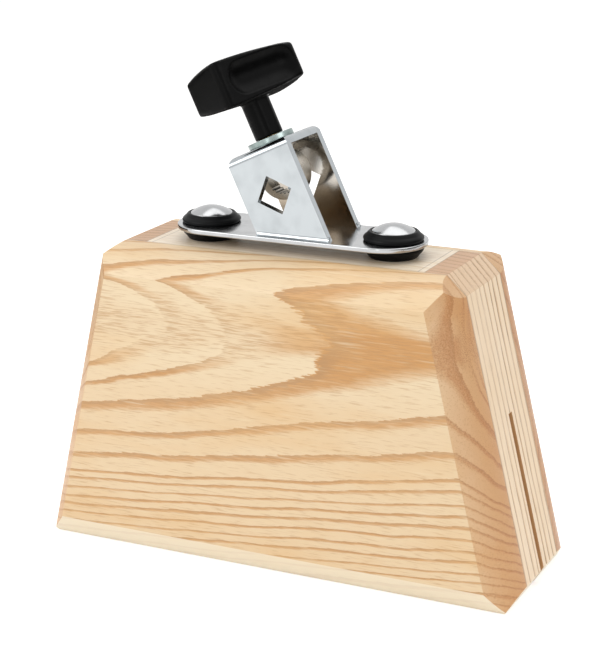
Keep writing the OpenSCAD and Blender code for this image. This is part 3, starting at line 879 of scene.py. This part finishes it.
@dataclass
class Mounting:
    """The chromed plate, the two grommets that float it, and the bolts through them.

    Lengths are in millimetres. A radius is measured from a bolt's axis.

    Attributes:
        shop: What makes the pieces.
        bolt_x: Half the distance between the bolts.
        wood_z: Height of the block's top over its base, on which the grommets rest.
        plate_low: Height of the plate's underside over the base.
        plate_top: Height of its upper side over the base.
        seat_z: Height over the base at which a bolt's head rests on its grommet.
        rubber_r: Largest radius of a grommet.
        root_r: Its radius where it meets the plate.
        foot_r: Its radius on the wood.
        groove_r: Radius of the groove that grips the plate.
        sleeve_r: Radius of the spacer sleeve.
        lip_in: Inner radius of the lip round the bolt's head.
        lip_out: Outer radius of the lip.
        lip_h: How far the lip stands up.
        bulge: Share of the rubber's side, from the plate, that bulges.
        side_steps: Steps up that side.
        head_r: Radius of a bolt's head.
        rim_h: Height of the head's upright rim.
        dome_h: Height of the dome on that rim.
        dome_steps: Steps over the dome.
        shank_r: Radius of the bolt's shank.
        tip_z: Height of its tip over the base.
        tip_bevel: Width of the bevel at the tip.
        plate_edge: How the plate's edges are rounded.
        rubber_edge: How the grommet's are.
        head_edge: How the bolt's are.
    """

    shop: Workshop
    bolt_x: float = 36.0
    wood_z: float = 114.0
    plate_low: float = 118.2
    plate_top: float = 120.0
    seat_z: float = 122.4
    rubber_r: float = 10.85
    root_r: float = 10.3
    foot_r: float = 8.5
    groove_r: float = 6.5
    sleeve_r: float = 4.0
    lip_in: float = 7.85
    lip_out: float = 8.55
    lip_h: float = 0.9
    bulge: float = 2 / 3
    side_steps: int = 18
    head_r: float = 7.7
    rim_h: float = 0.8
    dome_h: float = 2.6
    dome_steps: int = 20
    shank_r: float = 3.0
    tip_z: float = 101.0
    tip_bevel: float = 0.3
    plate_edge: Easing = Easing(0.4, 40, 3)
    rubber_edge: Easing = Easing(0.22, 30, 3)
    head_edge: Easing = Easing(0.25, 30, 3)

    def build(self) -> None:
        """Makes the plate, then each grommet and its bolt."""
        bm = self.shop.copy_of("mounting_plate")
        self.shop.round_edges(bm, self.plate_edge)
        self.shop.piece(bm, "plate_with_eased_edge", "block", "chromed_steel", CHROME, ("mounting_plate",))
        for side, x in (("left", -self.bolt_x), ("right", self.bolt_x)):
            self._grommet(side, x)
            self._bolt(side, x)
            self.shop.dress(side + "_spacer_sleeve", STEEL)
            self.shop.dress(side + "_threaded_insert", BRASS)

    def _swell(self, edge_r: float, height: float, base: float) -> list[tuple[float, float]]:
        """Draws the side of the rubber from the plate out to an edge.

        Args:
            edge_r: Radius at that edge.
            height: How far it is above the plate, or below it where negative.
            base: Height of the plate's face.

        Returns:
            The side's points as (radius, height).
        """
        points = []
        for i in range(self.side_steps + 1):
            t = i / self.side_steps
            swell = (self.rubber_r - self.root_r) * math.sin(math.pi * min(1.0, t / self.bulge))
            points.append((self.root_r + swell - (self.root_r - edge_r) * t * t, base + height * t))
        return points

    def _grommet(self, side: str, x: float) -> None:
        """Makes one rubber spool with its lip round the bolt head.

        Args:
            side: Which of the two it is, as in its node's name.
            x: Place of its axis along X.
        """
        top = self._swell(self.lip_out, self.seat_z - self.plate_top + self.lip_h, self.plate_top)
        low = self._swell(self.foot_r, self.wood_z - self.plate_low, self.plate_low)
        bore = [(self.lip_in, self.seat_z + self.lip_h), (self.lip_in, self.seat_z),
                (self.sleeve_r, self.seat_z), (self.sleeve_r, self.wood_z)]
        groove = [(self.groove_r, self.plate_low), (self.groove_r, self.plate_top)]
        bm = revolved(top + bore + low[::-1] + groove, x, True)
        self.shop.round_edges(bm, self.rubber_edge)
        self.shop.piece(bm, side + "_grommet_spool", "block", "black_rubber", RUBBER, (side + "_grommet",))

    def _bolt(self, side: str, x: float) -> None:
        """Makes one bolt with its low dome head.

        Args:
            side: Which of the two it is, as in its node's name.
            x: Place of its axis along X.
        """
        ball = (self.head_r**2 + self.dome_h**2) / (2 * self.dome_h)
        apex = self.seat_z + self.rim_h + self.dome_h
        tip = math.degrees(math.asin(self.head_r / ball))
        dome = arc((0, apex - ball), ball, 90, 90 - tip, self.dome_steps)
        shank = [(self.head_r, self.seat_z), (self.shank_r, self.seat_z),
                 (self.shank_r, self.tip_z + self.tip_bevel), (self.shank_r - self.tip_bevel, self.tip_z),
                 (0, self.tip_z)]
        bm = revolved([(0.0, apex)] + dome[1:] + shank, x, False)
        self.shop.round_edges(bm, self.head_edge)
        self.shop.piece(bm, side + "_dome_bolt", "block", "chromed_steel", CHROME, (side + "_mount_bolt",))


@dataclass
class Clamp:
    """The leaning bracket, its eye bolt and washer, and the wing nut that draws the eye up.

    Lengths are in millimetres. A height along the bolt is measured from the foot.

    Attributes:
        shop: What makes the pieces.
        foot: Where the clamp's axis meets the plate.
        lean: How far the axis leans to the left, in degrees.
        eye_z: Height of the eye's centre along the bolt.
        rim_r: Radius beyond which the eye's edges are on its outer rim.
        neck_z: Height below which they are clear of the stud.
        eye_top: Height where the solid is cut off and the threaded stud starts.
        stud_end: Height of the stud's end.
        stud_r: Radius of the stud over its thread.
        root_r: Radius of the stud between its thread.
        pitch: Rise of the thread for each turn.
        overlap: How far that stud reaches down into the eye.
        ridge: Shares of the pitch where the thread's ridge starts, comes to its crest, leaves it and ends.
        core_cover: How far the core stands up round the ridge's root.
        turn_steps: Steps of the thread for each turn.
        core_sides: Sides of the core.
        voxel_mm: Width of a voxel of the handle.
        softening: How often all of the handle is smoothed.
        rounding: How often its round outside is smoothed after that.
        smoothing: How far one smoothing moves a point towards its neighbours.
        crisp_deg: Edges of the handle that turn more than this many degrees stay crisp.
        grip_turn: Turn of the handle about the bolt, in degrees.
        grip_foot: Height from which the handle's outside is clear of its neck.
        grip_mid: Height of the finger scoops' middle.
        scoop_y: Distance of a scoop's axis from the middle of the grip.
        scoop_r: Radius of a scoop, with a little to spare.
        scoop_half: Half the length of its straight part, with its shift along the grip.
        sheet_edge: How the bracket's edges are rounded.
        washer_edge: How the washer's are.
        eye_edge: How the eye's outer ones are.
    """

    shop: Workshop
    foot: Size = (3.4, 0.0, 120.0)
    lean: float = 25.0
    eye_z: float = 21.9
    rim_r: float = 8.0
    neck_z: float = 29.5
    eye_top: float = 30.9
    stud_end: float = 61.75
    stud_r: float = 3.0
    root_r: float = 2.45
    pitch: float = 1.0
    overlap: float = 0.2
    ridge: tuple[float, float, float, float] = (0.02, 0.42, 0.58, 0.98)
    core_cover: float = 0.03
    turn_steps: int = 24
    core_sides: int = 32
    voxel_mm: float = 0.34
    softening: int = 6
    rounding: int = 26
    smoothing: float = 0.5
    crisp_deg: float = 80.0
    grip_turn: float = 63.0
    grip_foot: float = 51.0
    grip_mid: float = 58.35
    scoop_y: float = 16.7
    scoop_r: float = 9.1
    scoop_half: float = 9.7
    sheet_edge: Easing = Easing(0.4, 40, 3)
    washer_edge: Easing = Easing(0.25, 40, 2)
    eye_edge: Easing = Easing(0.3, 50, 2)

    def __post_init__(self) -> None:
        """Works out the clamp's own frame, whose Z runs up the eye bolt."""
        place = Matrix.Translation(Vector(self.foot) * MM)
        self.frame = place @ Matrix.Rotation(math.radians(-self.lean), 4, "Y")

    def build(self) -> None:
        """Makes the bracket, the eye bolt, the washer and the handle."""
        bm = self.shop.copy_of("clamp_bracket")
        self.shop.round_edges(bm, self.sheet_edge)
        self.shop.piece(bm, "pressed_bracket", "block", "chromed_steel", BENT_CHROME, ("clamp_bracket",))
        bm = self.shop.copy_of("clamp_washer")
        self.shop.round_edges(bm, self.washer_edge)
        self.shop.piece(bm, "plain_washer", "block", "zinc_plated_steel", ZINC, ("clamp_washer",))
        self._eye_bolt()
        self._handle()
        self.shop.dress("handle_insert", BRASS)

    def _eye_bolt(self) -> None:
        """Makes the toothed eye with a threaded stud above it."""
        bm = self.shop.copy_of("eye_bolt")
        cut = self.frame @ Vector((0, 0, self.eye_top * MM))
        up = (self.frame.to_3x3() @ Vector((0, 0, 1))).normalized()
        made = bmesh.ops.bisect_plane(bm, geom=bm.verts[:] + bm.edges[:] + bm.faces[:], dist=MERGE,
                                      plane_co=cut, plane_no=up, clear_outer=True)
        rim = [e for e in made["geom_cut"] if isinstance(e, bmesh.types.BMEdge)]
        bmesh.ops.edgeloop_fill(bm, edges=rim)
        self.shop.round_edges(bm, self.eye_edge, self._off_the_bore)
        self.shop.piece(bm, "toothed_eye", "eye", "plain_steel", EYE_STEEL, ("eye_bolt",))
        self.shop.piece(self._thread(), "threaded_stud", "eye", "plain_steel", STEEL)

    def _off_the_bore(self, edge: bmesh.types.BMEdge) -> bool:
        """Whether an edge lies on the outer rim of the eye, clear of its teeth and the stud."""
        middle = self.frame.inverted() @ ((edge.verts[0].co + edge.verts[1].co) / 2) / MM
        return math.hypot(middle.x, middle.z - self.eye_z) > self.rim_r and middle.z < self.neck_z

    def _thread(self) -> bmesh.types.BMesh:
        """Makes the threaded stud as a ridge that climbs a plain core.

        Returns:
            The stud, in place.
        """
        base = self.eye_top - self.overlap
        height = self.stud_end - base
        turns = int(height / self.pitch) - 1
        bm = bmesh.new()
        profile = zip((self.root_r, self.stud_r, self.stud_r, self.root_r), self.ridge)
        points = [bm.verts.new((r * MM, 0, (base + z * self.pitch) * MM)) for r, z in profile]
        edges = [bm.edges.new(pair) for pair in zip(points, points[1:] + points[:1])]
        made = bmesh.ops.spin(bm, geom=points + edges, cent=(0, 0, 0), axis=(0, 0, 1),
                              dvec=(0, 0, self.pitch * MM / self.turn_steps), angle=2 * math.pi * turns,
                              steps=self.turn_steps * turns, use_merge=False)
        last = [g for g in made["geom_last"] if isinstance(g, bmesh.types.BMEdge)]
        for end in (edges, last):
            bmesh.ops.edgeloop_fill(bm, edges=end)
        bmesh.ops.recalc_face_normals(bm, faces=bm.faces)
        radius = (self.root_r + self.core_cover) * MM
        middle = Matrix.Translation((0, 0, (base + height / 2) * MM))
        bmesh.ops.create_cone(bm, cap_ends=True, segments=self.core_sides, radius1=radius, radius2=radius,
                              depth=height * MM, matrix=middle)
        bmesh.ops.transform(bm, matrix=self.frame, verts=bm.verts)
        return bm

    def _handle(self) -> None:
        """Makes the moulded handle, with every edge softened as a mould leaves it."""
        form = placed(mesh_from(self.shop.copy_of("wing_handle"), "handle_form"), "handle_form")
        remesh = form.modifiers.new("remesh", "REMESH")
        remesh.mode = "VOXEL"
        remesh.voxel_size = self.voxel_mm * MM
        seen = form.evaluated_get(bpy.context.evaluated_depsgraph_get())
        bm = bmesh.new()
        bm.from_mesh(seen.to_mesh())
        bpy.data.objects.remove(form)
        outside = [v for v in bm.verts if self._rounds(v.co)]
        for verts, passes in ((bm.verts, self.softening), (outside, self.rounding)):
            for _ in range(passes):
                bmesh.ops.smooth_vert(bm, verts=verts, factor=self.smoothing, use_axis_x=True,
                                      use_axis_y=True, use_axis_z=True)
        self.shop.piece(bm, "moulded_wing_handle", "wing_nut", "black_plastic", NYLON, ("wing_handle",),
                        self.crisp_deg)

    def _rounds(self, place: Vector) -> bool:
        """Finds the round outside of the handle, clear of the finger scoops and the neck.

        Args:
            place: A point of the handle, in metres.

        Returns:
            Whether the point lies there.
        """
        turn = Matrix.Rotation(math.radians(self.grip_turn), 4, "Z")
        local = (self.frame @ turn).inverted() @ place / MM
        past = max(0.0, abs(local.x) - self.scoop_half)
        drop = math.hypot(past, abs(local.y) - self.scoop_y, local.z - self.grip_mid)
        return local.z > self.grip_foot and drop > self.scoop_r


@dataclass(frozen=True)
class Card:
    """A black card that stands beside the object. Lengths are in metres.

    Attributes:
        x: Its place along X, which it faces.
        y: The place of its middle along Y.
        width: Its width along Y.
        low: Height of its lower edge.
        high: Height of its upper edge.
    """

    x: float
    y: float
    width: float
    low: float
    high: float

    def stand(self, name: str, material: bpy.types.Material) -> None:
        """Stands the card in the scene.

        Args:
            name: The card's name.
            material: What it is made of.
        """
        bm = bmesh.new()
        bmesh.ops.create_grid(bm, x_segments=1, y_segments=1, size=0.5)
        bmesh.ops.scale(bm, verts=bm.verts, vec=(self.high - self.low, self.width, 1))
        bmesh.ops.rotate(bm, verts=bm.verts, matrix=Matrix.Rotation(math.radians(90), 3, "Y"))
        bmesh.ops.translate(bm, verts=bm.verts, vec=(self.x, self.y, (self.low + self.high) / 2))
        mesh = mesh_from(bm, name)
        mesh.materials.append(material)
        placed(mesh, name)


@dataclass(frozen=True)
class SoftBox:
    """A lamp behind a sheet of white cloth.

    Attributes:
        name: The lamp's name.
        place: Where it hangs, in metres.
        size: Its width and height, in metres.
        watts: Its power.
    """

    name: str
    place: Size
    size: tuple[float, float]
    watts: float

    def hang(self, aim: Vector) -> None:
        """Hangs the lamp in the scene.

        Args:
            aim: The point that it faces.
        """
        data = bpy.data.lights.new(self.name, "AREA")
        data.shape = "RECTANGLE"
        data.size, data.size_y = self.size
        data.energy = self.watts
        lamp = placed(data, self.name)
        lamp.location = self.place
        lamp.rotation_euler = (aim - Vector(self.place)).to_track_quat("-Z", "Y").to_euler()


@dataclass
class Studio:
    """The camera of the photograph, a pale floor, black cards and soft lamps.

    Attributes:
        eye_mm: Where the camera stands, in millimetres.
        target_mm: The point that it looks at, in millimetres.
        roll_deg: How far it is turned about its line of sight, in degrees.
        focal_px: Its focal length, in pixels of the photograph.
        sensor_mm: Width that its longer side is given, in millimetres.
        clip_m: Nearest and farthest distance that it sees, in metres.
        floor_half_m: Half the floor's width, in metres.
        floor_drop_mm: How far the floor lies below the base, so that the two don't touch, in millimetres.
        floor_glow: Light that the floor gives off where it is seen, which turns it white.
        world_light: Strength of the light from all round.
        aim_mm: Height that the lamps face, in millimetres.
        cards: The cards that gloss mirrors.
        boxes: The lamps.
    """

    eye_mm: Size = (278.72, -574.87, 273.45)
    target_mm: Size = (-0.42, 0.0, 84.27)
    roll_deg: float = -0.53
    focal_px: float = 1839.0
    sensor_mm: float = 36.0
    clip_m: tuple[float, float] = (0.01, 50.0)
    floor_half_m: float = 6.0
    floor_drop_mm: float = 0.1
    floor_glow: float = 0.5
    world_light: float = 0.55
    aim_mm: float = 80.0
    cards: tuple[Card, ...] = (Card(0.32, 0.02, 0.8, 0.06, 0.27), Card(-0.42, 0.1, 0.5, 0.0, 0.12))
    boxes: tuple[SoftBox, ...] = (
        SoftBox("key_box", (-0.65, -0.75, 0.75), (0.7, 0.7), 5.2),
        SoftBox("top_box", (0.05, 0.25, 1.0), (1.0, 0.8), 2.8),
        SoftBox("side_box", (0.95, -0.2, 0.4), (0.5, 0.7), 2.1),
        SoftBox("front_box", (0.14, -1.1, 0.25), (0.12, 0.5), 0.8))

    def place_camera(self) -> None:
        """Places the camera where the photograph was taken from."""
        data = bpy.data.cameras.new("camera")
        data.sensor_fit = "AUTO"
        data.sensor_width = self.sensor_mm
        data.lens = self.focal_px * self.sensor_mm / max(PICTURE)
        data.clip_start, data.clip_end = self.clip_m
        camera = placed(data, "camera")
        eye, target = Vector(self.eye_mm) * MM, Vector(self.target_mm) * MM
        look = (target - eye).to_track_quat("-Z", "Y").to_matrix().to_4x4()
        camera.matrix_world = (Matrix.Translation(eye) @ look
                               @ Matrix.Rotation(math.radians(self.roll_deg), 4, "Z"))
        bpy.context.scene.camera = camera

    def lay_floor(self) -> None:
        """Lays a pale floor that shows white and keeps the shadow."""
        bm = bmesh.new()
        bmesh.ops.create_grid(bm, x_segments=2, y_segments=2, size=self.floor_half_m)
        bmesh.ops.translate(bm, verts=bm.verts, vec=(0, 0, -self.floor_drop_mm * MM))
        mesh = mesh_from(bm, "floor")
        floor = placed(mesh, "floor")
        # Matt coated paper: a near white that hardly shines
        material = bpy.data.materials.new("pale_floor")
        tree = empty_tree(material)
        paper = add(tree, "BsdfPrincipled", pins={"Base Color": "#f2f1ef", "Roughness": 0.9,
                                                  "Specular IOR Level": 0.2})
        glow = add(tree, "Math", self._shown(tree), self.floor_glow, operation="MULTIPLY")
        glow = add(tree, "Emission", "#ffffff", glow)
        add(tree, "OutputMaterial", add(tree, "AddShader", paper, glow))
        mesh.materials.append(material)

    def stand_cards(self) -> None:
        """Stands the cards up, which only reflections show, to give gloss its contrast."""
        # Black felt: next to no light comes back from it
        material = bpy.data.materials.new("black_card")
        tree = empty_tree(material)
        mirrored = add(tree, "LightPath", out="Is Glossy Ray")
        clear = add(tree, "BsdfTransparent", "#ffffff")
        felt = add(tree, "BsdfDiffuse", "#050505")
        add(tree, "OutputMaterial", add(tree, "MixShader", mirrored, clear, felt))
        for i, card in enumerate(self.cards):
            card.stand(f"black_card_{i}", material)

    def _shown(self, tree: Tree) -> Socket:
        """Tells rays that show the background, directly or in metal, from those that light the object.

        Args:
            tree: The tree of the floor's material or of the world.

        Returns:
            One for a ray that shows the background, and zero for the others.
        """
        seen = add(tree, "LightPath", out="Is Camera Ray")
        for kind in ("Is Glossy Ray", "Is Transmission Ray"):
            seen = add(tree, "Math", seen, add(tree, "LightPath", out=kind), operation="MAXIMUM")
        return seen

    def light_world(self) -> None:
        """Surrounds the scene with soft light that the camera and the metal see as white."""
        world = bpy.data.worlds.new("studio")
        bpy.context.scene.world = world
        tree = empty_tree(world)
        soft = add(tree, "Background", "#ffffff", self.world_light)
        white = add(tree, "Background", "#ffffff", 1.0)
        add(tree, "OutputWorld", add(tree, "MixShader", self._shown(tree), soft, white))

    def hang_boxes(self) -> None:
        """Hangs the lamps."""
        for box in self.boxes:
            box.hang(Vector((0, 0, self.aim_mm * MM)))


def main() -> None:
    """Builds the studio and the sub-assemblies in order."""
    studio = Studio()
    studio.place_camera()
    shop = Workshop()
    Block(shop).build()
    Mounting(shop).build()
    Clamp(shop).build()
    studio.lay_floor()
    studio.stand_cards()
    studio.light_world()
    studio.hang_boxes()
    bpy.context.scene.view_settings.view_transform = "Standard"


if __name__ == "__main__":
    logging.basicConfig(level=logging.INFO, format="%(message)s")
    main()
